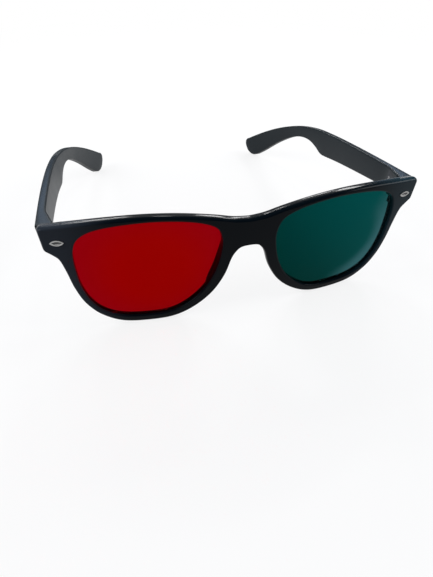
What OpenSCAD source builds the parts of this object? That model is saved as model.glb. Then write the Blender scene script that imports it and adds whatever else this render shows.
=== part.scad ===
// Folding two-colour 3D viewing glasses: a moulded front, two colour filters in a
// groove, and two temples on three-knuckle screw hinges. The glasses stand open, on
// the rims and the temple tips. X runs across the front, Y to the tips, Z up.

/* [Lenses] */
// Width of one lens opening
lens_w = 52.2; // [48:0.1:58]
// Height of one lens opening
lens_h = 43.2; // [38:0.1:48]
// Thickness of a colour filter
lens_t = 1.3; // [1:0.1:2.2]
// How far the edge of a filter reaches into the rim
lens_lip = 0.8; // [0.5:0.1:1.2]
// Clearance round a filter in its groove
lens_clear = 0.06; // [0.03:0.01:0.15]

/* [Front] */
// Gap between the two lens openings at the bridge
bridge_gap = 20.6; // [17:0.1:24]
// Width of the end piece outside the lens opening
end_w = 8.3; // [7:0.1:10]
// Rim in front of the filter, front to back
front_lip = 1.1; // [0.8:0.1:2]
// Rim behind the filter at the bottom, front to back
back_lip = 0.6; // [0.5:0.1:1.2]
// How much deeper the brow is than the bottom of the rims
brow_extra = 1.2; // [0.5:0.1:2]
// Extra depth of the end piece behind the rim
end_extra = 0.3; // [0.1:0.1:2]
// Radius of the bow of the front, seen from above
bow_r = 394; // [300:2:600]
// Rim width at the temple side
rim_side = 2.4; // [1.8:0.1:3.4]
// Rim width under the lens
rim_bottom = 3; // [2:0.1:4]
// Rim width beside the nose
rim_nose = 4.8; // [3.5:0.1:6]
// Height of the brow above the lens
brow_h = 1.7; // [1.4:0.1:4]
// Drop from the brow down to the top of the bridge
bridge_dip = 5.2; // [4:0.1:8]
// Height of the bridge at its middle
bridge_h = 11.2; // [8:0.1:14]
// Drop from the brow down to the top of the end piece
end_drop = 1.3; // [0.5:0.1:3]
// Height of the outer edge of the end piece
end_h = 9.8; // [9:0.1:14]
// Radius of the corners of the end piece
end_round = 1.6; // [0.8:0.1:2.5]
// Drop of the end piece's top at its back edge
end_back_drop = 1.1; // [0.5:0.1:1.5]
// How far in from its edge the end piece's underside runs into the rim
shoulder_in = 2.5; // [1.5:0.1:4]
// How far that place lies below the end piece
shoulder_down = 1.4; // [0.8:0.1:2]
// What the shoulder adds to the rim below it
shoulder_w = 2.2; // [1.4:0.1:2.8]
// How far a nose pad stands behind the rim
pad_depth = 3.8; // [2.5:0.1:5]
// Length of a nose pad
pad_len = 16; // [13:0.5:18]
// Width of a nose pad
pad_w = 2.4; // [2:0.1:3]
// Splay of the nose pads
pad_splay = 10; // [5:1:20]

/* [Temples] */
// Length of a temple from its butt face to its tip
temple_len = 137.5; // [125:0.5:150]
// Thickness of a temple
temple_t = 3; // [2.4:0.1:4]
// Height of a temple at the hinge
hinge_end_h = 8.4; // [8:0.1:11]
// Height of a temple at its swell, in front of the ear
swell_h = 12.2; // [10.5:0.1:15]
// Height of a temple at its neck, over the ear
neck_h = 6; // [5:0.1:8]
// Upright height of a temple behind the ear
tip_h = 14; // [12:0.1:15.5]
// Downward slope of the straight stretch, in degrees
temple_slope = 6.6; // [4:0.1:8]
// How far the tip curls in towards the head
tip_curl = 19; // [10:0.5:20]
// How far the middle of a temple bows out
temple_bow = 1.1; // [0:0.1:2]
// Width of a temple at its butt face
wedge_w = 6; // [5:0.1:7]
// Length of the wedge behind the butt face
wedge_len = 12; // [10:0.5:16]
// How far the outside of a temple stands out past the end piece
temple_proud = 0.9; // [0:0.1:1.2]
// Drop from the end piece down to the top of a temple
temple_drop = 1.5; // [0.5:0.1:3]
// Gap between a temple's butt face and the end piece
butt_gap = 0.2; // [0.1:0.05:0.4]

/* [Hinges] */
// Radius of a hinge knuckle
knuckle_r = 1.5; // [1.3:0.05:1.8]
// Height of the three knuckles together, and of the leaves
barrel_h = 5.4; // [4.6:0.1:6.2]
// How far the hinge sits below the middle of the temple's end
hinge_drop = 0.7; // [0.3:0.1:1]
// Gap between two knuckles, along the screw
knuckle_gap = 0.1; // [0.05:0.01:0.2]
// Gap round the knuckles
hinge_gap = 0.25; // [0.2:0.01:0.4]
// Radius of the hinge screw
screw_r = 0.7; // [0.5:0.05:0.8]
// Running clearance of the screw in the temple's knuckle
screw_run = 0.05; // [0.02:0.01:0.09]
// Radius of the hinge screw's head
screw_head_r = 1.1; // [1:0.05:1.2]
// Height of the hinge screw's head
screw_head_h = 0.7; // [0.5:0.05:0.9]
// Thickness of a hinge leaf
leaf_t = 1; // [0.8:0.05:1.2]
// Length of the leaf in the end piece
front_leaf_len = 5.2; // [4.8:0.1:5.5]
// Length of the leaf in the temple
temple_leaf_len = 8; // [7:0.1:9]
// Radius of a leaf screw's shank
fix_r = 0.5; // [0.4:0.05:0.6]
// Radius of a leaf screw's head
fix_head_r = 0.9; // [0.8:0.05:1]
// How far a leaf screw goes into the plastic
fix_depth = 1.2; // [0.8:0.1:1.4]
// Width of a screw's slot
slot_w = 0.3; // [0.2:0.05:0.4]
// Depth of a screw's slot
slot_depth = 0.25; // [0.15:0.05:0.35]
// Clearance of a leaf or a screw in its seat
seat_clear = 0.04; // [0.02:0.01:0.1]

/* [Inlays] */
// Length of the pointed oval on the end piece
inlay_w = 4.6; // [3.6:0.1:5]
// Height of the pointed oval
inlay_h = 2.2; // [1.6:0.1:3]
// Thickness of the pointed oval
inlay_t = 0.8; // [0.6:0.05:1]
// How far the pointed oval stands proud
inlay_proud = 0.3; // [0.1:0.05:0.5]
// Distance of its centre from the outer edge of the end piece
inlay_in = 5.2; // [4:0.1:6]
// Height of its centre above the end piece's lower corner
inlay_up = 4.2; // [3:0.1:6]
// Share of the pointed oval that is sunk in its middle
inlay_sunk = 0.6; // [0.4:0.05:0.7]
// Radius of its two pegs
peg_r = 0.4; // [0.3:0.05:0.5]
// Length of its two pegs
peg_len = 1.2; // [0.8:0.1:1.5]

/* [Hidden] */

// The wearer's right is on -X, and carries the red filter
RIGHT = -1;
LEFT = 1;

$fn = 96;
bow_fn = 720;
curve_steps = 5;
temple_steps = 44;
past = 1;

// Depths and heights of the front. The rims are cut flat where they stand.
rim_t = front_lip + lens_t + back_lip;
front_t = rim_t + brow_extra;
rest_flat = 0.12;
lens_bottom = rim_bottom - rest_flat;
lens_z = lens_bottom + lens_h / 2;
lens_x = bridge_gap / 2 + lens_w / 2;
brow_top = lens_bottom + lens_h + brow_h;
bridge_top = brow_top - bridge_dip;
bridge_under = bridge_top - bridge_h;
front_half = bridge_gap / 2 + lens_w + end_w;
end_top = brow_top - end_drop;
end_bottom = end_top - end_h;
end_back = bow_sag(front_half) + front_t + end_extra;
inlay_z = end_bottom + inlay_up;

// The temple's butt face, top edge and wedge
butt_y = end_back + butt_gap;
temple_x = front_half + temple_proud;
temple_top = end_top - temple_drop;
tip_y = butt_y + temple_len;
bend_start = 0.515;
curl_start = 0.36;
bow_share = 0.62;
curl_power = 2.4;
top_end = 0.98;
under_end = 0.926;
heel_up = 1.3;
bend_share = (under_end - bend_start) / (1 - bend_start);
ear_drop = (temple_top - under_end * temple_len * tan(temple_slope) - tip_h - heel_up)
    / (bend_share * bend_share);
wedge_share = wedge_len / temple_len;
wedge_corner = [temple_in(0), butt_y];
wedge_angle = atan((temple_in(wedge_share) - temple_in(0)) / wedge_len);

// The hinge's axis stands off the wedge's inner face by part of a knuckle
axis_off = 0.75 * knuckle_r;
hinge_y = end_back + knuckle_r + hinge_gap;
hinge_x = wedge_corner[0]
    - (axis_off - sin(wedge_angle) * (hinge_y - butt_y)) / cos(wedge_angle);
hinge_z = temple_top - hinge_end_h / 2 - hinge_drop;
knuckle_h = (barrel_h - 2 * knuckle_gap) / 3;
scoop_r = knuckle_r + hinge_gap;
leaf_start = sqrt(scoop_r * scoop_r - axis_off * axis_off) + hinge_gap;
block_x = hinge_x - knuckle_r - 2 * hinge_gap;
fix_head_h = 0.6 * leaf_t;
front_fix_x = [hinge_x + 0.3 * front_leaf_len, hinge_x + 0.74 * front_leaf_len];
temple_fix_y = [leaf_start + 0.25 * temple_leaf_len, leaf_start + 0.75 * temple_leaf_len];

// Lens opening, clockwise from the top, in halves of its width and height
LENS_KNOTS = [
    [0, 1], [0.4, 0.975], [0.7, 0.905], [0.88, 0.77], [0.96, 0.58], [0.99, 0.38],
    [1, 0.14], [0.99, -0.19], [0.92, -0.52], [0.765, -0.79], [0.49, -0.955], [0.05, -1],
    [-0.26, -0.95], [-0.52, -0.77], [-0.74, -0.5], [-0.89, -0.17], [-0.97, 0.16],
    [-1, 0.46], [-0.95, 0.7], [-0.84, 0.82], [-0.62, 0.915], [-0.33, 0.975]];

// Rim at some of those knots: the knot, and the share of the shoulder that is added to
// the side width, or the share of the way from the bottom width to the nose width
RIM_SIDE_KNOTS = [[5, 1], [6, 0.4], [7, 0.1], [8, 0], [9, 0]];
RIM_NOSE_KNOTS = [[10, 0], [11, 0], [12, 0.1], [13, 0.35], [14, 0.6], [15, 0.8], [16, 1]];

// Underside of the bridge, towards the middle: shares of the gap, across and down
BRIDGE_KNOTS = [[0.2, 0.05], [0.11, 0.007], [0, 0]];

// Brow line from the middle outwards: the place across, and the share of the dip
BROW_KNOTS = [[0, 1], [0.08, 0.89], [0.17, 0.6], [0.29, 0.3], [0.41, 0.1], [0.54, 0],
              [0.7, 0.03], [0.85, 0.14]];

// Temple height along its length: the place, the two heights it lies between, the share
TEMPLE_HEIGHTS = [
    [0, hinge_end_h], [0.2, mix(hinge_end_h, swell_h, 0.4)],
    [0.37, mix(hinge_end_h, swell_h, 0.74)], [0.46, swell_h * 0.985], [0.495, swell_h * 0.97],
    [0.53, mix(swell_h, neck_h, 0.42)], [0.58, mix(swell_h, neck_h, 0.83)], [0.64, neck_h],
    [0.71, mix(neck_h, tip_h, 0.1)], [0.8, mix(neck_h, tip_h, 0.44)],
    [0.88, mix(neck_h, tip_h, 0.85)], [under_end, tip_h]];

// Round end of a temple: the place along it, and its height as a share of the tip's
TIP_KNOTS = [[0.994, 0.64], [0.999, 0.47], [0.99, 0.2], [0.971, 0.035], [0.95, -0.008]];

function mix(a, b, share) = a + (b - a) * share;
function bow_sag(x) = bow_r - sqrt(bow_r * bow_r - x * x);

// A smooth curve through four points, and through a whole list of them
function curve_at(a, b, c, d, t) =
    0.5 * (2 * b + (c - a) * t + (2 * a - 5 * b + 4 * c - d) * t * t
           + (3 * b - a - 3 * c + d) * t * t * t);
function open_curve(p) = [
    for (i = [0 : len(p) - 2], j = [0 : curve_steps - 1])
        curve_at(p[max(i - 1, 0)], p[i], p[i + 1], p[min(i + 2, len(p) - 1)], j / curve_steps),
    p[len(p) - 1]];
function closed_curve(p) = let (n = len(p)) [
    for (i = [0 : n - 1], j = [0 : curve_steps - 1])
        curve_at(p[(i + n - 1) % n], p[i], p[(i + 1) % n], p[(i + 2) % n], j / curve_steps)];

// A clockwise closed line moved outwards, and the outward direction at one of its points
function outward(p, i) = let (n = len(p), d = p[(i + 1) % n] - p[(i + n - 1) % n])
    [-d[1], d[0]] / norm(d);
function grown(p, by) = [for (i = [0 : len(p) - 1]) p[i] + by * outward(p, i)];

function value_at(table, s) =
    let (i = max([for (k = [0 : len(table) - 2]) if (table[k][0] <= s) k]),
         n = len(table) - 1,
         t = (s - table[i][0]) / (table[i + 1][0] - table[i][0]))
    curve_at(table[max(i - 1, 0)][1], table[i][1], table[i + 1][1],
             table[min(i + 2, n)][1], t);

// Lines of the front, on the wearer's left
lens_knots = [for (k = LENS_KNOTS) [lens_x + k[0] * lens_w / 2, lens_z + k[1] * lens_h / 2]];
lens_line = closed_curve(lens_knots);
brow_line = open_curve([
    for (k = BROW_KNOTS) [k[0] * front_half, brow_top - k[1] * bridge_dip]]);
function corner_point(z, angle) =
    [front_half - end_round, z] + end_round * [cos(angle), sin(angle)];
end_line = [for (angle = [90 : -15 : 0]) corner_point(end_top - end_round, angle)];
rim_line = open_curve(concat(
    [for (angle = [0 : -25 : -50]) corner_point(end_bottom + end_round, angle)],
    [[front_half - shoulder_in, end_bottom - shoulder_down]],
    [for (k = RIM_SIDE_KNOTS)
        lens_knots[k[0]] + (rim_side + k[1] * shoulder_w) * outward(lens_knots, k[0])],
    [for (k = RIM_NOSE_KNOTS)
        lens_knots[k[0]] + mix(rim_bottom, rim_nose, k[1]) * outward(lens_knots, k[0])],
    [for (k = BRIDGE_KNOTS) [k[0] * bridge_gap, bridge_under - k[1] * bridge_gap]]));
half_line = concat(brow_line, end_line, rim_line);
front_line = concat(half_line, [
    for (i = [len(half_line) - 2 : -1 : 1]) [-half_line[i][0], half_line[i][1]]]);

// Lines of a temple, on the wearer's left
function temple_y(s) = butt_y + s * temple_len;
function temple_out(s) = temple_x + temple_bow * sin(180 * min(1, s / bow_share))
    - tip_curl * pow(max(0, (s - curl_start) / (1 - curl_start)), curl_power);
function temple_top_at(s) = temple_top - s * temple_len * tan(temple_slope)
    - ear_drop * pow(max(0, (s - bend_start) / (1 - bend_start)), 2);
function temple_in(s) = temple_out(s)
    - mix(wedge_w, temple_t, min(1, s * temple_len / wedge_len));
function temple_point(s) = [temple_y(s), temple_top_at(s)];
function underside_point(s) = [temple_y(s), temple_top_at(s) - value_at(TEMPLE_HEIGHTS, s)];

tip_line = open_curve(concat(
    [temple_point(top_end)],
    [for (k = TIP_KNOTS) [temple_y(k[0]), k[1] * tip_h]],
    [underside_point(under_end)]));
temple_side = concat(
    [for (i = [0 : temple_steps - 1]) temple_point(top_end * i / temple_steps)],
    tip_line,
    [for (i = [temple_steps - 1 : -1 : 0]) underside_point(under_end * i / temple_steps)]);
// Steps in plan, with one where the wedge runs out
plan_end = 1.02;
plan_shares = concat(
    [0], [for (i = [0 : temple_steps]) mix(wedge_share, plan_end, i / temple_steps)]);
temple_plan = concat(
    [for (s = plan_shares) [temple_out(s), temple_y(s)]],
    [for (i = [len(plan_shares) - 1 : -1 : 0])
        [temple_in(plan_shares[i]), temple_y(plan_shares[i])]]);

tallest = brow_top + 2 * past;
half_depth = tip_y / 2;

// Puts the front's foremost line and the tips at equal distances from the origin,
// and turns a wearer's left piece into a right one
module placed(side = LEFT) {
    translate([0, -half_depth, 0]) mirror([side == RIGHT ? 1 : 0, 0, 0]) children();
}

// An outline in X and Z, carried through the front from front to back
module through_front(line, depth = end_back) {
    translate([0, depth, 0]) rotate([90, 0, 0]) linear_extrude(depth) polygon(line);
}

// What lies behind the bowed surface that is a given depth into the front
module behind_bow(depth) {
    translate([0, bow_r, -past]) cylinder(r = bow_r - depth, h = tallest, $fn = bow_fn);
}

// What lies behind the front's back, which is less deep at the bottom of the rims
module behind_back() {
    translate([0, bow_r, -past])
        cylinder(r1 = bow_r - rim_t, r2 = bow_r - front_t, h = tallest, $fn = bow_fn);
}

// A bowed plate with the lens outline, grown by a lip
module lens_plate(lip, clear) {
    intersection() {
        through_front(grown(lens_line, lip + clear), bow_sag(front_half) + front_t);
        difference() {
            behind_bow(front_lip - clear);
            behind_bow(front_lip + lens_t + clear);
        }
    }
}

module on_both_sides() {
    children();
    mirror([1, 0, 0]) children();
}

// Band along the nose side of the rim, crowned towards the back and splayed
PAD_KNOTS = [14, 15, 16, 17];
pad_inset = 0.3;
pad_root = back_lip + brow_extra / 2;
pad_z = lens_z;
pad_crown = (pad_len * pad_len / 4 + pad_depth * pad_depth) / (2 * pad_depth);
pad_band = let (
    edge = [for (k = PAD_KNOTS)
        lens_knots[k] + (mix(rim_bottom, rim_nose, 0.6) - pad_inset) * outward(lens_knots, k)],
    line = open_curve(edge))
    concat(line, [for (i = [len(line) - 1 : -1 : 0]) line[i] + [pad_w, 0]]);
module nose_pad() {
    intersection() {
        translate([bridge_gap / 2, front_t, 0]) rotate([0, 0, -pad_splay])
            translate([-bridge_gap / 2, -pad_root, 0])
                through_front(pad_band, pad_depth + pad_root);
        translate([0, front_t + pad_depth - pad_crown, pad_z]) rotate([0, 90, 0])
            cylinder(r = pad_crown, h = bridge_gap + lens_w);
    }
}

// Frames that the hinge pieces are drawn in: the end piece's back, and the wedge's face
module at_hinge() { translate([hinge_x, hinge_y, hinge_z]) children(); }
module at_wedge_face() { at_hinge() rotate([0, 0, -wedge_angle]) children(); }
module at_inlay() {
    x = front_half - inlay_in;
    translate([x, bow_sag(x), inlay_z]) rotate([0, 0, asin(x / bow_r)]) children();
}

// A leaf screw along +Y, with its head flush at y = 0
module fix_screw_shape(clear) {
    rotate([-90, 0, 0]) {
        cylinder(r = fix_r + clear, h = leaf_t + fix_depth + clear);
        cylinder(r = fix_head_r + clear, h = fix_head_h + clear);
    }
}
module front_fix_places() {
    for (x = front_fix_x) translate([x, end_back, hinge_z]) rotate([0, 0, 180]) children();
}
module temple_fix_places() {
    at_wedge_face() for (y = temple_fix_y) translate([axis_off, y, 0]) rotate([0, 0, -90]) children();
}
module screw_slot() {
    translate([-fix_head_r, -past, -slot_w / 2]) cube([2 * fix_head_r, past + slot_depth, slot_w]);
}

module front_leaf_plate(clear) {
    translate([hinge_x - knuckle_r - clear, end_back - leaf_t - clear,
               hinge_z - barrel_h / 2 - clear])
        cube([knuckle_r + front_leaf_len + 2 * clear, leaf_t + clear + (clear > 0 ? past : 0),
              barrel_h + 2 * clear]);
}
module temple_leaf_plate(clear) {
    at_wedge_face()
        translate([axis_off - (clear > 0 ? past : 0), leaf_start - clear, -barrel_h / 2 - clear])
            cube([leaf_t + clear + (clear > 0 ? past : 0), temple_leaf_len + 2 * clear,
                  barrel_h + 2 * clear]);
}
module temple_leaf_neck(clear) {
    at_wedge_face() translate([axis_off - leaf_t / 2, 0, -knuckle_h / 2 - clear])
        cube([1.5 * leaf_t + clear, leaf_start + leaf_t, knuckle_h + 2 * clear]);
}

// A pointed oval, the overlap of two circles, carried along -Y from y = 0
oval_r = (inlay_w * inlay_w + inlay_h * inlay_h) / (4 * inlay_h);
peg_x = 0.2 * inlay_w;
module pointed_oval(clear, length) {
    rotate([90, 0, 0]) intersection() {
        translate([0, oval_r - inlay_h / 2, 0]) cylinder(r = oval_r + clear, h = length);
        translate([0, inlay_h / 2 - oval_r, 0]) cylinder(r = oval_r + clear, h = length);
    }
}
module inlay_shape(clear) {
    seat = inlay_t - inlay_proud;
    at_inlay() {
        translate([0, seat + clear, 0]) pointed_oval(clear, inlay_t + clear);
        for (x = [-peg_x, peg_x])
            translate([x, seat / 2, 0]) rotate([-90, 0, 0])
                cylinder(r = peg_r + clear, h = seat / 2 + peg_len + clear);
    }
}

// All that stands above a given height, from a place across to past the end piece
module standing_slab(from_x, from_z) {
    translate([from_x, -past, from_z])
        cube([front_half + past - from_x, end_back + 2 * past, tallest]);
}

// What the top of an end piece slopes under, down to its back edge
back_slope = 25;
module above_back_edge() {
    translate([block_x, end_back, end_top - end_back_drop]) rotate([-back_slope, 0, 0])
        translate([0, -end_back, 0]) cube([front_half + past - block_x, end_back + past, tallest]);
}

module front_frame() {
    color("#15181c") placed() difference() {
        union() {
            intersection() {
                through_front(front_line);
                behind_bow(0);
                union() {
                    difference() {
                        standing_slab(-front_half - past, 0);
                        behind_back();
                    }
                    on_both_sides() standing_slab(block_x, end_bottom - shoulder_down);
                }
            }
            on_both_sides() nose_pad();
        }
        on_both_sides() {
            translate([0, -past, 0]) through_front(lens_line, end_back + pad_depth + 2 * past);
            lens_plate(lens_lip, lens_clear);
            front_leaf_plate(seat_clear);
            front_fix_places() fix_screw_shape(seat_clear);
            inlay_shape(seat_clear);
            above_back_edge();
        }
    }
}

module lens(side) { placed(side) lens_plate(lens_lip, 0); }
module red_lens() { color("#8c0000") lens(RIGHT); }
module green_lens() { color("#003c38") lens(LEFT); }

// Pointed oval with a sunk middle, on two pegs
module front_inlay(side) {
    color("silver") placed(side) difference() {
        inlay_shape(0);
        at_inlay() translate([0, -inlay_proud / 2, 0]) scale(inlay_sunk) pointed_oval(0, past);
    }
}

// Plate sunk in the back of the end piece, with the upper and lower knuckles
module front_hinge_leaf(side) {
    color("#24282d") placed(side) difference() {
        union() {
            front_leaf_plate(0);
            for (up = [-1, 1]) {
                translate([0, 0, up * (knuckle_h + knuckle_gap) - knuckle_h / 2]) {
                    at_hinge() cylinder(r = knuckle_r, h = knuckle_h);
                    translate([hinge_x - knuckle_r, end_back - leaf_t / 2, hinge_z])
                        cube([knuckle_r + hinge_gap, hinge_y - end_back + leaf_t / 2, knuckle_h]);
                }
            }
        }
        hinge_screw_shape(seat_clear / 2, seat_clear);
        front_fix_places() fix_screw_shape(seat_clear);
    }
}

// Shank from the lowest knuckle up to a head sunk in the highest
module hinge_screw_shape(clear, head_clear) {
    at_hinge() {
        translate([0, 0, -barrel_h / 2 - (clear > 0 ? past : 0)])
            cylinder(r = screw_r + clear, h = barrel_h + (clear > 0 ? past : 0));
        translate([0, 0, barrel_h / 2 - screw_head_h - head_clear])
            cylinder(r = screw_head_r + head_clear, h = screw_head_h + (clear > 0 ? past : 0) + head_clear);
    }
}
module hinge_screw(side) {
    color("#a9adb0") placed(side) difference() {
        hinge_screw_shape(0, 0);
        at_hinge() translate([-screw_head_r - past, -slot_w / 2, barrel_h / 2 - slot_depth])
            cube([2 * (screw_head_r + past), slot_w, slot_depth + past]);
    }
}

module front_leaf_screws(side) {
    color("#a9adb0") placed(side) front_fix_places() difference() {
        fix_screw_shape(0);
        screw_slot();
    }
}
module temple_leaf_screws(side) {
    color("#a9adb0") placed(side) temple_fix_places() difference() {
        fix_screw_shape(0);
        screw_slot();
    }
}

// Plan and side outlines crossed, with the scoop for the knuckles and the leaf's pocket
module temple(side) {
    color("#23282d") placed(side) difference() {
        intersection() {
            translate([0, 0, -past]) linear_extrude(tallest) polygon(temple_plan);
            translate([temple_x - tip_curl - wedge_w, 0, 0]) rotate([90, 0, 90])
                linear_extrude(tip_curl + wedge_w + temple_bow + past) polygon(temple_side);
            cube([temple_x + temple_bow + past, tip_y + past, tallest]);
        }
        at_hinge() translate([0, 0, -barrel_h / 2 - hinge_gap]) cylinder(r = scoop_r, h = tallest);
        temple_leaf_plate(seat_clear);
        temple_leaf_neck(seat_clear);
        temple_fix_places() fix_screw_shape(seat_clear);
    }
}

// Plate sunk in the wedge's inner face, with the middle knuckle
module temple_hinge_leaf(side) {
    color("#24282d") placed(side) difference() {
        union() {
            temple_leaf_plate(0);
            temple_leaf_neck(0);
            at_hinge() translate([0, 0, -knuckle_h / 2]) cylinder(r = knuckle_r, h = knuckle_h);
        }
        at_hinge() translate([0, 0, -barrel_h / 2]) cylinder(r = screw_r + screw_run, h = barrel_h);
        temple_fix_places() fix_screw_shape(seat_clear);
    }
}

front_frame();
red_lens();
green_lens();
front_inlay(RIGHT);  // right_front_inlay
front_inlay(LEFT);  // left_front_inlay
front_hinge_leaf(RIGHT);  // right_front_hinge_leaf
front_hinge_leaf(LEFT);  // left_front_hinge_leaf
front_leaf_screws(RIGHT);  // right_front_leaf_screws
front_leaf_screws(LEFT);  // left_front_leaf_screws
hinge_screw(RIGHT);  // right_hinge_screw
hinge_screw(LEFT);  // left_hinge_screw
temple(RIGHT);  // right_temple
temple(LEFT);  // left_temple
temple_hinge_leaf(RIGHT);  // right_temple_hinge_leaf
temple_hinge_leaf(LEFT);  // left_temple_hinge_leaf
temple_leaf_screws(RIGHT);  // right_temple_leaf_screws
temple_leaf_screws(LEFT);  // left_temple_leaf_screws
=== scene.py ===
# Folding two-colour 3D glasses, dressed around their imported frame. The pieces come in the
# order in which the glasses are put together: front, filters, inlays, hinges, temples.
import math

import bmesh
import bpy
from mathutils import Matrix, Vector


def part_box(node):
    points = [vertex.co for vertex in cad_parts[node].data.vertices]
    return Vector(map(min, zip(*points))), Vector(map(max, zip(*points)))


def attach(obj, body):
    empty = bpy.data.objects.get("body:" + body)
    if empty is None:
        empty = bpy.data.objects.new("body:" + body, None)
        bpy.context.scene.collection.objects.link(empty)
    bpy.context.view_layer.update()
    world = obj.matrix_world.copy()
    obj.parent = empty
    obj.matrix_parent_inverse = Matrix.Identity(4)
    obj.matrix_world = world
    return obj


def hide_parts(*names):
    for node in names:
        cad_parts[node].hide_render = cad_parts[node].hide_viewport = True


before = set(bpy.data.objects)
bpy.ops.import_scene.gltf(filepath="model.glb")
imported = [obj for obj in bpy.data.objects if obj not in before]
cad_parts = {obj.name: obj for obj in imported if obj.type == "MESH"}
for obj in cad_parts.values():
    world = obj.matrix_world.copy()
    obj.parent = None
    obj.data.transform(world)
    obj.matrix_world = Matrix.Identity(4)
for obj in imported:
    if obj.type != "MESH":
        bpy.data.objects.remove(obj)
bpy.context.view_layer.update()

# The view: a phone held above the wearer's right end of the front, looking down across
# the glasses. Its focal length is in pixels of a picture 577 pixels high. Here and below,
# sizes are in millimetres.
MM = 0.001
eye = Vector((-42.8, -179.6, 115.9)) * MM
yaw, pitch, roll = math.radians(16.0), math.radians(43.22), math.radians(0.93)
focal_px, picture_h_px, nearest_seen = 381, 577, 10
ahead = Vector((math.sin(yaw) * math.cos(pitch), math.cos(yaw) * math.cos(pitch), -math.sin(pitch)))
level = Vector((math.cos(yaw), -math.sin(yaw), 0))
plumb = ahead.cross(level)
view_right = math.cos(roll) * level - math.sin(roll) * plumb
view_down = math.sin(roll) * level + math.cos(roll) * plumb
bpy.ops.object.camera_add(location=eye)
camera = bpy.context.object
camera.name = "photo_camera"
camera.rotation_euler = Matrix((view_right, -view_down, -ahead)).transposed().to_euler()
camera.data.lens = focal_px * camera.data.sensor_width / picture_h_px
camera.data.clip_start = nearest_seen * MM
bpy.context.scene.camera = camera

# The front: one injection moulding of black plastic with both rims, the bridge, the end
# pieces and the nose pads. Its edges are rolled over, and the whole is bowed. Its lines
# are drawn flat, through points that are shares of its sizes.
lens_x, lens_z, lens_half_w, lens_half_h = 36.4, 24.48, 26.1, 21.6
LENS_KNOTS = [
    (0, 1), (0.4, 0.975), (0.7, 0.905), (0.88, 0.77), (0.96, 0.58), (0.99, 0.38),
    (1, 0.14), (0.99, -0.19), (0.92, -0.52), (0.765, -0.79), (0.49, -0.955), (0.05, -1),
    (-0.26, -0.95), (-0.52, -0.77), (-0.74, -0.5), (-0.89, -0.17), (-0.97, 0.16),
    (-1, 0.46), (-0.95, 0.7), (-0.84, 0.82), (-0.62, 0.915), (-0.33, 0.975)]
front_half, front_t, rim_t, front_y, bow_r = 70.8, 4.2, 3.0, -74.307, 394
brow_top, bridge_dip, bridge_under, bridge_gap = 47.78, 5.2, 31.38, 20.6
BROW_KNOTS = [(0, 1), (0.08, 0.89), (0.17, 0.6), (0.29, 0.3), (0.41, 0.1), (0.54, 0),
              (0.7, 0.03), (0.85, 0.14)]
end_top, end_bottom, end_round, end_back = 46.48, 36.68, 1.6, 10.913
UPPER_TURNS, LOWER_TURNS = range(0, 91, 15), (0, 25, 50)
shoulder_in, shoulder_down, shoulder_w = 2.5, 1.4, 2.2
rim_side, rim_bottom, rim_nose = 2.4, 3.0, 4.8
RIM_SIDE_KNOTS = [(5, 1), (6, 0.4), (7, 0.1), (8, 0), (9, 0)]
RIM_NOSE_KNOTS = [(10, 0), (11, 0), (12, 0.1), (13, 0.35), (14, 0.6), (15, 0.8), (16, 1)]
BRIDGE_KNOTS = [(0.2, 0.05), (0.11, 0.007), (0, 0)]
edge_in, edge_deep, edge_spare, opening_edge, outline_gap = 0.7, 1.7, 0.03, 0.5, 0.6


def smooth_line(points, closed=False, steps=8):
    """A smooth line through drawn points, with so many steps between two of them."""
    count = len(points)
    line = []
    for i in range(count if closed else count - 1):
        picked = [(i + k) % count if closed else min(max(i + k, 0), count - 1) for k in (-1, 0, 1, 2)]
        a, b, c, d = (Vector(points[k]) for k in picked)
        for t in (j / steps for j in range(steps)):
            line.append(0.5 * (2 * b + (c - a) * t + (2 * a - 5 * b + 4 * c - d) * t ** 2
                               + (3 * b - a - 3 * c + d) * t ** 3))
    return line if closed else line + [Vector(points[-1])]


def even_line(points, gap):
    """The same open line, with its points about one gap apart."""
    lengths = [0.0]
    for a, b in zip(points, points[1:]):
        lengths.append(lengths[-1] + (b - a).length)
    count = round(lengths[-1] / gap)
    line, k = [], 0
    for at in (lengths[-1] * i / count for i in range(count + 1)):
        while k < len(points) - 2 and lengths[k + 1] < at:
            k += 1
        line.append(points[k].lerp(points[k + 1], (at - lengths[k]) / (lengths[k + 1] - lengths[k])))
    return line


def beside(points, i, width):
    """A place beside a drawn point of a clockwise outline, so far outside it."""
    along = Vector(points[(i + 1) % len(points)]) - Vector(points[i - 1])
    return Vector(points[i]) + width * Vector((-along.y, along.x)).normalized()


def mirrored_line(line):
    return [Vector((-p.x, p.y)) for p in line]


def sag(x):
    """How far the bow takes the front back, this far from its middle."""
    return bow_r - math.sqrt(bow_r ** 2 - x ** 2)


def deselected():
    if bpy.context.mode != "OBJECT":
        bpy.ops.object.mode_set(mode="OBJECT")
    bpy.ops.object.select_all(action="DESELECT")


def chosen(piece):
    deselected()
    piece.select_set(True)
    bpy.context.view_layer.objects.active = piece


def outline_ring(line):
    """A ring of edges laid along an outline in X and Z."""
    deselected()
    bpy.ops.mesh.primitive_circle_add(vertices=len(line), radius=1)
    ring = bpy.context.object
    for vertex, point in zip(ring.data.vertices, line):
        vertex.co = (point.x, 0, point.y)
    return ring


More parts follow.
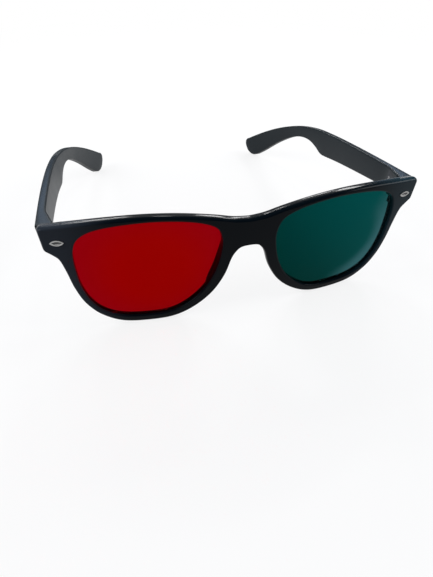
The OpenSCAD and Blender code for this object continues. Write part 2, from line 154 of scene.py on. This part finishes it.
lens_points = [Vector((lens_x + u * lens_half_w, lens_z + v * lens_half_h)) for u, v in LENS_KNOTS]
lens_line = smooth_line(lens_points, closed=True)
lens_line = even_line(lens_line + lens_line[:1], outline_gap)[:-1]
upper_corner = [Vector((front_half - end_round + end_round * math.sin(turn),
                        end_top - end_round + end_round * math.cos(turn)))
                for turn in map(math.radians, UPPER_TURNS)]
lower_corner = [Vector((front_half - end_round + end_round * math.cos(turn),
                        end_bottom + end_round - end_round * math.sin(turn)))
                for turn in map(math.radians, LOWER_TURNS)]
half_line = even_line(
    smooth_line([(u * front_half, brow_top - v * bridge_dip) for u, v in BROW_KNOTS]) + upper_corner
    + smooth_line(
        lower_corner + [Vector((front_half - shoulder_in, end_bottom - shoulder_down))]
        + [beside(lens_points, k, rim_side + share * shoulder_w) for k, share in RIM_SIDE_KNOTS]
        + [beside(lens_points, k, rim_bottom + share * (rim_nose - rim_bottom))
           for k, share in RIM_NOSE_KNOTS]
        + [Vector((u * bridge_gap, bridge_under - v * bridge_gap)) for u, v in BRIDGE_KNOTS]),
    outline_gap)
front_line = half_line + mirrored_line(half_line[-2:0:-1])

rings = [outline_ring(line) for line in (front_line, lens_line, mirrored_line(lens_line))]
deselected()
for ring in rings:
    ring.select_set(True)
bpy.context.view_layer.objects.active = rings[0]
bpy.ops.object.join()
front = bpy.context.object
front.name = "moulded_front"

# The face is filled and inset, so that its edges can be rolled. It is drawn thin and then
# stretched front to back, which makes the rolled edges deeper than they are wide.
stretch = edge_deep / edge_in
bpy.ops.object.mode_set(mode="EDIT")
bpy.ops.mesh.select_all(action="SELECT")
bpy.ops.mesh.fill(use_beauty=True)
bpy.ops.mesh.select_all(action="SELECT")
bpy.ops.mesh.inset(thickness=edge_in + edge_spare, use_even_offset=True)
bpy.ops.object.mode_set(mode="OBJECT")
bpy.ops.object.modifier_add(type="SOLIDIFY")
front.modifiers["Solidify"].thickness = front_t / stretch
front.modifiers["Solidify"].offset = 0
bpy.ops.object.modifier_apply(modifier="Solidify")
sharp_from = math.radians(60)


def select_sharp(piece, wanted):
    """Selects the sharp edges of a piece whose middle is wanted."""
    bpy.ops.object.mode_set(mode="EDIT")
    bpy.ops.mesh.select_mode(type="EDGE")
    bpy.ops.mesh.select_all(action="DESELECT")
    mesh = bmesh.from_edit_mesh(piece.data)
    for edge in mesh.edges:
        if len(edge.link_faces) == 2 and edge.calc_face_angle() > sharp_from:
            if wanted((edge.verts[0].co + edge.verts[1].co) / 2):
                edge.select_set(True)
    bmesh.update_edit_mesh(piece.data)


def round_edges(piece, wanted, width, segments):
    select_sharp(piece, wanted)
    bpy.ops.mesh.bevel(offset=width, offset_type="ABSOLUTE", segments=segments, profile=0.5,
                       affect="EDGES", clamp_overlap=False)
    bpy.ops.object.mode_set(mode="OBJECT")


def in_opening(place):
    spot = Vector((abs(place.x), place.z))
    return min((spot - p).length for p in lens_line) < outline_gap


round_edges(front, lambda p: stretch * abs(p.y) > front_t / 4 and not in_opening(p),
            edge_in, segments=6)
bpy.ops.object.mode_set(mode="EDIT")
bpy.ops.mesh.select_all(action="SELECT")
bpy.ops.transform.resize(value=(1, stretch, 1), center_override=(0, 0, 0))
bpy.ops.transform.translate(value=(0, front_t / 2, 0))
round_edges(front, lambda p: abs(p.y - front_t / 2) > front_t / 4 and in_opening(p),
            opening_edge, segments=4)
bpy.ops.object.mode_set(mode="EDIT")

# The rims get thinner toward the bottom. The end pieces are filled out behind to a flat
# back, which takes the hinge leaves.
block_x, block_z, block_ramp, block_top, weld = 62.98, 35.28, 0.25, 45.4, 0.004
for x in (block_x, block_x - block_ramp, -block_x, block_ramp - block_x):
    bpy.ops.mesh.select_all(action="SELECT")
    bpy.ops.mesh.bisect(plane_co=(x, 0, 0), plane_no=(1, 0, 0))
for z in (block_z, block_z - block_ramp):
    bpy.ops.mesh.select_all(action="SELECT")
    bpy.ops.mesh.bisect(plane_co=(0, 0, z), plane_no=(0, 0, 1))
bpy.ops.object.mode_set(mode="OBJECT")
for vertex in front.data.vertices:
    x, depth, z = vertex.co
    thin = (rim_t + (front_t - rim_t) * z / brow_top) / front_t
    y = sag(x) + thin * depth
    if abs(x) > block_x - block_ramp / 2 and z > block_z - block_ramp / 2:
        back_share = max(0, 2 * depth / front_t - 1)
        y += back_share * (end_back - sag(x) - thin * front_t)
        z -= back_share * max(0, z - block_top)
    vertex.co.y = y + front_y
    vertex.co.z = max(z, 0)
bpy.ops.object.mode_set(mode="EDIT")
bpy.ops.mesh.select_all(action="SELECT")
bpy.ops.mesh.remove_doubles(threshold=weld)
bpy.ops.mesh.normals_make_consistent(inside=False)
bpy.ops.object.mode_set(mode="OBJECT")


def cutting_box(low, high):
    deselected()
    bpy.ops.mesh.primitive_cube_add(size=1)
    box = bpy.context.object
    for vertex in box.data.vertices:
        vertex.co = [low[k] if vertex.co[k] < 0 else high[k] for k in range(3)]
    return box


def combined(piece, other, operation):
    """Cuts another solid out of a piece, or joins it on, and removes the other solid."""
    chosen(piece)
    bpy.ops.object.modifier_add(type="BOOLEAN")
    boolean = piece.modifiers["Boolean"]
    boolean.object, boolean.operation, boolean.solver = other, operation, "EXACT"
    bpy.ops.object.modifier_apply(modifier="Boolean")
    bpy.data.objects.remove(other)


leaf_t, seat_clear = 1.0, 0.04
seat = front_y + end_back - leaf_t - seat_clear
for side in ("right", "left"):
    low, high = (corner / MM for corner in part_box(side + "_front_hinge_leaf"))
    combined(front, cutting_box(
        (low.x - seat_clear, seat, low.z - seat_clear),
        (high.x + seat_clear, seat + 2 * leaf_t, high.z + seat_clear)), "DIFFERENCE")

# Nose pads are moulded on behind the rims: long drops that follow the nose and splay.
PAD_KNOTS = (14, 15, 16, 17)
pad_in, pad_half_w, pad_from, pad_half_d, pad_splay = 2.3, 1.2, 2.4, 2.6, math.radians(10)
pad_line = even_line(smooth_line([beside(lens_points, k, pad_in) for k in PAD_KNOTS]), outline_gap)
for side in (-1, 1):
    deselected()
    bpy.ops.mesh.primitive_uv_sphere_add(segments=32, ring_count=24, radius=1)
    pad = bpy.context.object
    for vertex in pad.data.vertices:
        at = (vertex.co.z + 1) / 2 * (len(pad_line) - 1)
        k = min(int(at), len(pad_line) - 2)
        back = (vertex.co.y + 1) * pad_half_d
        spot = pad_line[k].lerp(pad_line[k + 1], at - k)
        across = vertex.co.x * pad_half_w + back * math.tan(pad_splay)
        vertex.co = (side * (spot.x + across), front_y + pad_from + back, spot.y)
    if side < 0:
        pad.data.flip_normals()
    combined(front, pad, "UNION")
soft_to = math.radians(32)


def finished(piece):
    """Brings a piece from millimetres to metres, and smooths all but its sharp edges."""
    chosen(piece)
    piece.data.transform(Matrix.Scale(MM, 4))
    bpy.ops.object.shade_smooth_by_angle(angle=soft_to)


finished(front)


class Shade:
    """One value in a material. Sums on it add Math nodes, and node() adds any other node."""

    def __init__(self, tree, socket=None):
        self.tree, self.socket = tree, socket

    def node(self, kind, settings=(), sockets=(), out=0):
        made = self.tree.nodes.new(kind)
        for name, value in dict(settings).items():
            setattr(made, name, value)
        for name, value in dict(sockets).items():
            if isinstance(value, Shade):
                self.tree.links.new(value.socket, made.inputs[name])
            else:
                made.inputs[name].default_value = value
        return Shade(self.tree, made.outputs[out])

    def sum(self, operation, first, second=0.0):
        return self.node("ShaderNodeMath", {"operation": operation}, {0: first, 1: second})

    def __add__(self, other):
        return self.sum("ADD", self, other)

    def __sub__(self, other):
        return self.sum("SUBTRACT", self, other)

    def __rsub__(self, other):
        return self.sum("SUBTRACT", other, self)

    def __mul__(self, other):
        return self.sum("MULTIPLY", self, other)

    __radd__, __rmul__ = __add__, __mul__

    def __abs__(self):
        return self.sum("ABSOLUTE", self)

    def axis(self, letter):
        """One of the three numbers of a place or a direction."""
        return self.node("ShaderNodeSeparateXYZ", sockets={0: self}, out=letter)

    def ease(self, low, high):
        """0 below low, 1 above high, and a soft step between."""
        return self.node("ShaderNodeMapRange", {"interpolation_type": "SMOOTHSTEP"},
                         {"Value": self, "From Min": low, "From Max": high})

    def blend(self, first, second):
        """A colour, this far from the first one to the second."""
        return self.node("ShaderNodeMix", {"data_type": "RGBA"}, {0: self, 6: first, 7: second}, out=2)


def new_finish(name, **constants):
    """A material, the place on its piece, and a way to feed values to its surface."""
    material = bpy.data.materials.new(name)
    material.use_nodes = True
    tree = material.node_tree
    surface = tree.nodes["Principled BSDF"]
    for socket, value in constants.items():
        surface.inputs[socket.replace("_", " ")].default_value = value

    def feed(**values):
        for socket, value in values.items():
            tree.links.new(value.socket, surface.inputs[socket.replace("_", " ")])

    return material, Shade(tree).node("ShaderNodeTexCoord", out="Object"), feed


def speckle(place, size):
    """Noise whose grains have a given size."""
    return place.node("ShaderNodeTexNoise",
                      sockets={"Vector": place, "Scale": 1 / (size * MM), "Detail": 2.0})


def bump(place, height, depth):
    """A normal pressed by a height of up to a given depth."""
    return place.node("ShaderNodeBump",
                      sockets={"Height": height, "Distance": depth * MM, "Strength": 1.0})


def coated(piece, finish):
    piece.data.materials.clear()
    piece.data.materials.append(finish)


# Painted sheen: the end pieces are coloured lighter than the rims, greyer at the wearer's right end
# and more teal at the left, for the light they catch. The same mask also makes the ends rougher.
RIM_BLACK = (0.0018, 0.0042, 0.0068, 1)
RIGHT_END_PAINTED_SHEEN, LEFT_END_PAINTED_SHEEN = (0.027, 0.034, 0.045, 1), (0.011, 0.028, 0.038, 1)
rim_until, end_from, tone_reach = 45, 68, 60
black_plastic, place, feed = new_finish("front_black_plastic", Specular_IOR_Level=0.06)
cloud = speckle(place, 9)
x = place.axis("X")
painted_sheen_ends = abs(x).ease(rim_until * MM, end_from * MM)
painted_end_sheen = x.ease(-tone_reach * MM, tone_reach * MM).blend(RIGHT_END_PAINTED_SHEEN, LEFT_END_PAINTED_SHEEN)
feed(Base_Color=painted_sheen_ends.blend(RIM_BLACK, painted_end_sheen),
     Roughness=0.1 + 0.08 * cloud + 0.08 * painted_sheen_ends,
     Normal=bump(place, speckle(place, 0.5) + 2.0 * cloud, 0.002))
coated(front, black_plastic)
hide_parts("front_frame")
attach(front, "front")

# The filters: two sheets of tinted clear plastic, red on the wearer's right and blue-green
# on the left. Each is cut to its opening and held in a groove of the rim.
CLEAR_SHEET = {"Transmission_Weight": 1.0, "Specular_IOR_Level": 0.02, "IOR": 1.05}


def coat_node(node, finish):
    """Puts a finish on a piece that keeps its CAD mesh."""
    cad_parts[node].material_slots[0].material = finish


MIDDLE_RED, EDGE_RED = (0.285, 0.0, 0.0, 1), (0.265, 0.0, 0.003, 1)
middle_until, edge_from = 12, 30
red_tint, place, feed = new_finish("red_filter_sheet", **CLEAR_SHEET)
off_middle = place.node("ShaderNodeVectorMath", {"operation": "DISTANCE"},
                        {0: place, 1: (-lens_x * MM, front_y * MM, lens_z * MM)}, out="Value")
feed(Base_Color=off_middle.ease(middle_until * MM, edge_from * MM).blend(MIDDLE_RED, EDGE_RED),
     Roughness=0.02 + 0.03 * speckle(place, 6))
coat_node("red_lens", red_tint)

# The green sheet has painted light: it is brighter toward its upper outer corner, with a painted
# reflection of the floor along its outer edge.
SHADED_GREEN, LIT_GREEN = (0.0, 0.025, 0.0205, 1), (0.0, 0.064, 0.0612, 1)
PAINTED_REFLECTION_TEAL = (0.028, 0.105, 0.115, 1)
green_tint, place, feed = new_finish("green_filter_sheet", **CLEAR_SHEET)
across = (place.axis("X") - lens_x * MM) * (1 / (lens_half_w * MM))
upward = (place.axis("Z") - lens_z * MM) * (1 / (lens_half_h * MM))
painted_light = (0.84 * across + 0.54 * upward).ease(-1.5, 1.5)
near_rim = (across * across + upward * upward).ease(0.45, 0.88)
painted_reflection = near_rim * (0.94 * across - 0.34 * upward).ease(0.3, 0.9)
feed(Base_Color=painted_reflection.blend(painted_light.blend(SHADED_GREEN, LIT_GREEN), PAINTED_REFLECTION_TEAL),
     Roughness=0.02 + 0.03 * speckle(place, 6))
coat_node("green_lens", green_tint)

# The inlays: pointed ovals stamped from bright metal. Their sunk middle is painted black and not
# metal, a painted shade for the dark reflection in it. Each is pressed into the face of its end piece.
GREY_METAL, PALE_METAL = (0.3, 0.3, 0.3, 1), (0.44, 0.44, 0.43, 1)
PAINTED_SHADE_BLACK = (0.006, 0.006, 0.007, 1)
shade_half_w, shade_half_h, shade_up = 1.75, 0.42, 0.1
bright_metal, place, feed = new_finish("inlay_bright_metal", Metallic=1.0)
low, high = (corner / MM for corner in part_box("left_front_inlay"))
inlay_mid = (low + high) / 2
across = (abs(place.axis("X")) - inlay_mid.x * MM) * (1 / (shade_half_w * MM))
upward = (place.axis("Z") - (inlay_mid.z + shade_up) * MM) * (1 / (shade_half_h * MM))
# The dark middle is painted shade and reflection.
painted_shade = 1 - (across * across + upward * upward).ease(0.55, 1.1)
metal = speckle(place, 0.6).blend(GREY_METAL, PALE_METAL)
feed(Base_Color=painted_shade.blend(metal, PAINTED_SHADE_BLACK), Metallic=1 - painted_shade,
     Roughness=0.25 + 0.2 * speckle(place, 0.3),
     Normal=bump(place, speckle(place, 0.4), 0.01))
for side in ("right", "left"):
    coat_node(side + "_front_inlay", bright_metal)

# The hinges: leaves stamped from blacked steel, sunk in the plastic and held by two small
# screws each. A turned steel screw through their knuckles joins the two leaves.
LEAF_BLACK, LEAF_GREY = (0.01, 0.014, 0.02, 1), (0.026, 0.033, 0.043, 1)
SCREW_DARK, SCREW_PALE = (0.2, 0.205, 0.215, 1), (0.3, 0.305, 0.315, 1)
grain_stretch = 0.08
leaf_steel, place, feed = new_finish("hinge_blacked_steel", Specular_IOR_Level=0.15)
grain = place.node("ShaderNodeMapping", sockets={"Vector": place, "Scale": (1, 1, grain_stretch)})
feed(Base_Color=speckle(grain, 0.25).blend(LEAF_BLACK, LEAF_GREY),
     Roughness=0.3 + 0.2 * speckle(grain, 0.2),
     Normal=bump(place, speckle(grain, 0.15), 0.02))
screw_steel, place, feed = new_finish("screw_turned_steel", Metallic=1.0)
feed(Base_Color=speckle(place, 0.3).blend(SCREW_DARK, SCREW_PALE),
     Roughness=0.2 + 0.2 * speckle(place, 0.2),
     Normal=bump(place, speckle(place, 0.12), 0.005))
for side in ("right", "left"):
    for leaf in ("_front_hinge_leaf", "_temple_hinge_leaf"):
        coat_node(side + leaf, leaf_steel)
    for screw in ("_front_leaf_screws", "_temple_leaf_screws", "_hinge_screw"):
        coat_node(side + screw, screw_steel)

# The temples: black plastic mouldings with satin inner faces, a wedge at the hinge, a
# swell, a neck over the ear and a tip that drops and curls in behind it. Places along a
# temple are shares of its length.
temple_len, temple_t, wedge_w, wedge_len, butt_y = 137.5, 3.0, 6.0, 12.0, 11.113
temple_x, temple_bow, bow_share = 71.7, 1.1, 0.62
tip_curl, curl_start, curl_power = 19.0, 0.36, 2.4
temple_top, temple_slope, bend_start, ear_drop = 44.98, math.radians(6.6), 0.515, 20.815
tip_h, top_end, under_end = 14.0, 0.98, 0.926
TEMPLE_HEIGHTS = [
    (0, 8.4), (0.2, 9.92), (0.37, 11.21), (0.46, 12.02), (0.495, 11.83), (0.53, 9.6), (0.58, 7.05),
    (0.64, 6.0), (0.71, 6.8), (0.8, 9.52), (0.88, 12.8), (under_end, tip_h)]
TIP_KNOTS = [(0.994, 0.64), (0.999, 0.47), (0.99, 0.2), (0.971, 0.035), (0.95, -0.008)]
temple_edge, butt_edge, temple_steps, tip_steps = 0.5, 0.25, 60, 8


def outside_at(share):
    curl = max(0, (share - curl_start) / (1 - curl_start)) ** curl_power
    return temple_x + temple_bow * math.sin(math.pi * min(1, share / bow_share)) - tip_curl * curl


def inside_at(share):
    wedge = min(1, share * temple_len / wedge_len)
    return outside_at(share) - (wedge_w + (temple_t - wedge_w) * wedge)


def top_at(share):
    bend = max(0, (share - bend_start) / (1 - bend_start))
    return temple_top - share * temple_len * math.tan(temple_slope) - ear_drop * bend ** 2


height_line = smooth_line(TEMPLE_HEIGHTS, steps=40)


def under_at(share):
    last = len(height_line) - 1
    after = next(k for k in range(1, last + 1) if height_line[k].x >= share or k == last)
    a, b = height_line[after - 1], height_line[after]
    return top_at(share) - (a.y + (b.y - a.y) * (share - a.x) / (b.x - a.x))


stations = []
for i in range(temple_steps):
    top_share, under_share = top_end * i / temple_steps, under_end * i / temple_steps
    stations.append(((top_share, top_at(top_share)), (under_share, under_at(under_share))))
tip_line = smooth_line(
    [(top_end, top_at(top_end))] + [(share, up * tip_h) for share, up in TIP_KNOTS]
    + [(under_end, under_at(under_end))], steps=16)
tip_skip = len(tip_line) // (2 * tip_steps)
stations += [(tip_line[tip_skip * i], tip_line[-1 - tip_skip * i]) for i in range(tip_steps)]

deselected()
bpy.ops.mesh.primitive_cube_add(size=2)
left_temple = bpy.context.object
bpy.ops.object.mode_set(mode="EDIT")
bpy.ops.mesh.select_mode(type="EDGE")
bpy.ops.mesh.select_all(action="DESELECT")
mesh = bmesh.from_edit_mesh(left_temple.data)
for edge in mesh.edges:
    edge.select_set(abs(edge.verts[0].co.y - edge.verts[1].co.y) > 1)
bmesh.update_edit_mesh(left_temple.data)
bpy.ops.mesh.subdivide(number_cuts=len(stations) - 2)
bpy.ops.object.mode_set(mode="OBJECT")
butt_at, hair = front_y + butt_y, 0.01
for vertex in left_temple.data.vertices:
    station = stations[round((vertex.co.y + 1) / 2 * (len(stations) - 1))]
    share, height = station[0 if vertex.co.z > 0 else 1]
    across = outside_at(share) if vertex.co.x > 0 else inside_at(share)
    vertex.co = (across, butt_at + share * temple_len, max(height, 0))
round_edges(left_temple, lambda p: p.y > butt_at + hair, temple_edge, segments=4)
round_edges(left_temple, lambda p: p.y <= butt_at + hair, butt_edge, segments=2)

# The wedge is scooped for the knuckles, and its inner face has a pocket for the leaf.
hinge_x, hinge_back, hinge_z, wedge_angle = 64.9772, 12.663, 40.08, math.radians(16.13)
axis_off, scoop_r, scoop_under, knuckle_h, barrel_h = 1.125, 1.75, 0.25, 1.733, 5.4
leaf_from, leaf_len = 1.59, 8.0
hinge_at = Vector((hinge_x, front_y + hinge_back, hinge_z))
pocket_half, gap_half = barrel_h / 2 + seat_clear, knuckle_h / 2 + seat_clear
pocket_out = axis_off + leaf_t + seat_clear
for cutter in (
        cutting_box((axis_off - leaf_t, leaf_from - seat_clear, -pocket_half),
                    (pocket_out, leaf_from + leaf_len + seat_clear, pocket_half)),
        cutting_box((axis_off - leaf_t / 2, 0, -gap_half),
                    (pocket_out, leaf_from + leaf_t, gap_half))):
    cutter.data.transform(Matrix.Translation(hinge_at) @ Matrix.Rotation(-wedge_angle, 4, "Z"))
    combined(left_temple, cutter, "DIFFERENCE")
deselected()
bpy.ops.mesh.primitive_cylinder_add(vertices=48, radius=scoop_r, depth=2 * barrel_h)
scoop = bpy.context.object
scoop.data.transform(Matrix.Translation(hinge_at + Vector((0, 0, barrel_h / 2 - scoop_under))))
combined(left_temple, scoop, "DIFFERENCE")
finished(left_temple)
bpy.ops.object.duplicate()
right_temple = bpy.context.object
right_temple.data.transform(Matrix.Scale(-1, 4, (1, 0, 0)))
right_temple.data.flip_normals()

# Their top faces are polished, and the rolled edges along them are matt.
SATIN_BLACK, SATIN_GREY = (0.010, 0.0155, 0.0195, 1), (0.016, 0.023, 0.028, 1)
satin_plastic, place, feed = new_finish("temple_black_plastic", Specular_IOR_Level=0.15)
cloud = speckle(place, 12)
upward = place.node("ShaderNodeNewGeometry", out="Normal").axis("Z")
polished = upward.ease(0.98, 0.992)
rolled = upward.ease(0.05, 0.3) * (1 - upward.ease(0.96, 0.985))
feed(Base_Color=cloud.blend(SATIN_BLACK, SATIN_GREY),
     Roughness=0.34 + 0.12 * cloud - 0.2 * polished + 0.35 * rolled,
     Normal=bump(place, speckle(place, 0.4) + 2.0 * cloud, 0.002))
for side, temple in (("right", right_temple), ("left", left_temple)):
    temple.name = side + "_temple_moulding"
    coated(temple, satin_plastic)
    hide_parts(side + "_temple")
    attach(temple, side + "_temple_arm")

# The studio: a white floor that glows where it is seen and keeps a soft shadow around the
# glasses, soft boxes at both sides, and lamps behind that light the brow and the temples.
# Its sizes are in metres.
WHITE, PAPER_WHITE = (1, 1, 1, 1), (0.85, 0.85, 0.85, 1)
floor_size, floor_drop, paper_share, paper_until, glow_from = 8, 0.0002, 0.2, 0.25, 0.6
deselected()
bpy.ops.mesh.primitive_plane_add(size=floor_size, location=(0, 0, -floor_drop))
floor = bpy.context.object
floor.name = "studio_floor"
floor_white = bpy.data.materials.new("studio_floor_white")
floor_white.use_nodes = True
tree = floor_white.node_tree
tree.nodes.remove(tree.nodes["Principled BSDF"])
rays = tree.nodes.new("ShaderNodeLightPath")
seen = sum((Shade(tree, rays.outputs[name]) for name in ("Is Glossy Ray", "Is Transmission Ray")),
           Shade(tree, rays.outputs["Is Camera Ray"]))
glow = seen.node("ShaderNodeEmission",
                 sockets={"Color": WHITE, "Strength": seen.sum("MINIMUM", seen, 1.0)})
paper = seen.node("ShaderNodeBsdfDiffuse", sockets={"Color": PAPER_WHITE})
spot = seen.node("ShaderNodeTexCoord", out="Object")
far = spot.node("ShaderNodeVectorMath", {"operation": "LENGTH"}, {0: spot}, out="Value")
far = far.ease(paper_until, glow_from)
both = seen.node("ShaderNodeMixShader",
                 sockets={0: paper_share - paper_share * far, 1: glow, 2: paper})
tree.links.new(both.socket, tree.nodes["Material Output"].inputs["Surface"])
coated(floor, floor_white)


def soft_box(name, place, towards, size, watts, colour):
    deselected()
    bpy.ops.object.light_add(type="AREA", location=place)
    lamp = bpy.context.object
    lamp.name = name
    lamp.rotation_euler = (Vector(towards) - Vector(place)).to_track_quat("-Z", "Y").to_euler()
    lamp.data.shape = "RECTANGLE"
    lamp.data.size, lamp.data.size_y = size
    lamp.data.energy, lamp.data.color = watts, colour


def lamp_behind(name, turn, lift, wide, high, radiance, away=0.7, colour=WHITE[:3]):
    """A lamp behind the glasses, its place and its size as angles seen from the brow."""
    turn, lift, wide, high = (math.radians(angle) for angle in (turn, lift, wide, high))
    brow = Vector((0, front_y, brow_top)) * MM
    ray = Vector((math.sin(turn) * math.cos(lift), math.cos(turn) * math.cos(lift), math.sin(lift)))
    size = (2 * away * math.tan(wide / 2), 2 * away * math.tan(high / 2))
    soft_box(name, brow + away * ray, brow, size, math.pi * radiance * size[0] * size[1], colour)


for name, side in (("box_right", -1), ("box_left", 1)):
    soft_box(name, place=(side * 0.7, -0.1, 0.5), towards=(0, 0, 0), size=(0.5, 0.5), watts=4.0,
             colour=WHITE[:3])
lamp_behind("window_behind", 4, 30, 64, 22, radiance=1.1, away=0.9)
lamp_behind("tube_right", -12, 30.5, 13, 2, radiance=60)
lamp_behind("tube_middle", 25.5, 23.5, 9, 5, radiance=30)
lamp_behind("tube_bridge", 10, 38, 5, 2, radiance=50)
lamp_behind("tube_left", 38.5, 28, 8, 5, radiance=30)
SKY_BLUE = (0.62, 0.85, 1.2)
lamp_behind("strip_right", -16, 14.5, 9, 8, radiance=0.95, colour=SKY_BLUE)
lamp_behind("strip_left", 43, 12, 7, 4, radiance=1.4, colour=SKY_BLUE)

# The world is white where it is seen, and dim and cool where it only lights the glasses.
DIM_SKY, dim, dimmer = (0.78, 0.84, 1.0, 1), 0.3, 0.2
world = bpy.data.worlds.new("studio_world")
bpy.context.scene.world = world
world.use_nodes = True
tree = world.node_tree
sky = tree.nodes["Background"]
rays = tree.nodes.new("ShaderNodeLightPath")
mirrored = Shade(tree, rays.outputs["Is Glossy Ray"])
seen = Shade(tree, rays.outputs["Is Camera Ray"]) + Shade(tree, rays.outputs["Is Transmission Ray"])
tree.links.new(seen.blend(DIM_SKY, WHITE).socket, sky.inputs["Color"])
tree.links.new((dim - dimmer * mirrored + (1 - dim) * seen).socket, sky.inputs["Strength"])
bpy.context.scene.view_settings.view_transform = "Standard"
